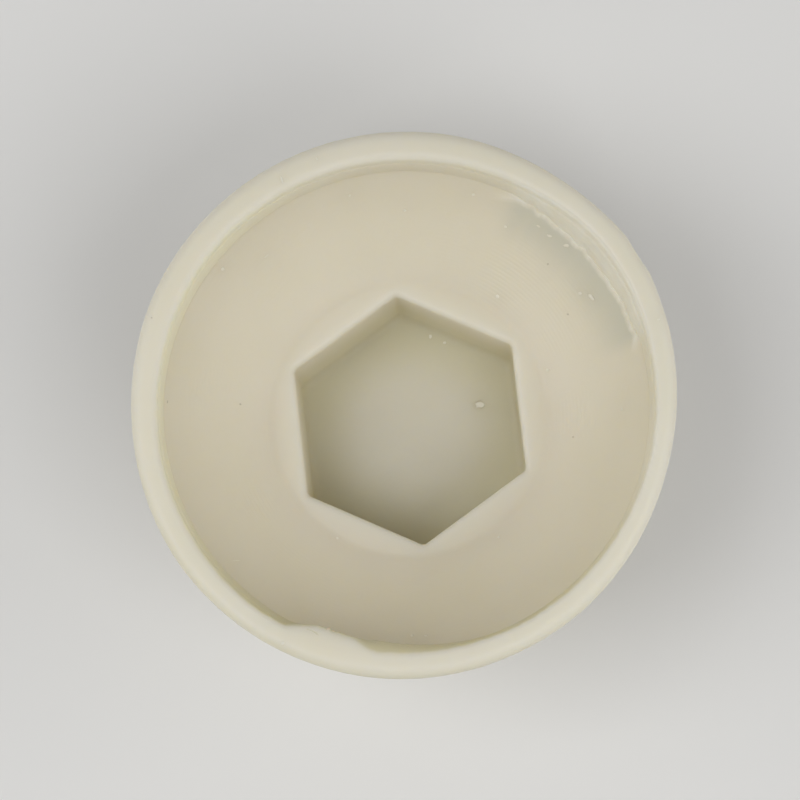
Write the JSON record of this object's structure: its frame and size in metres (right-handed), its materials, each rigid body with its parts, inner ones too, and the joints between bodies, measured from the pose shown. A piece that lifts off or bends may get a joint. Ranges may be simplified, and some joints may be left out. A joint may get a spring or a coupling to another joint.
{
  "type": "screw cover cap",
  "caption": "Round moulded plastic screw cover cap, lying open side up: raised rim, dished face and a drafted hexagonal socket over a round boss.",
  "frame": {"origin": "middle of the flat crown that the cap lies on, which is the bottom centre of its box", "axes": "+Z along the cap's axis, out of the socket and through the open rim; +Y through one corner of the hexagon"},
  "size_m": [0.02, 0.02, 0.01],
  "materials": {
    "ivory_plastic": "satin, as moulded"
  },
  "bodies": {
    "root": {"cap": "ivory_plastic"}
  },
  "joints": []
}
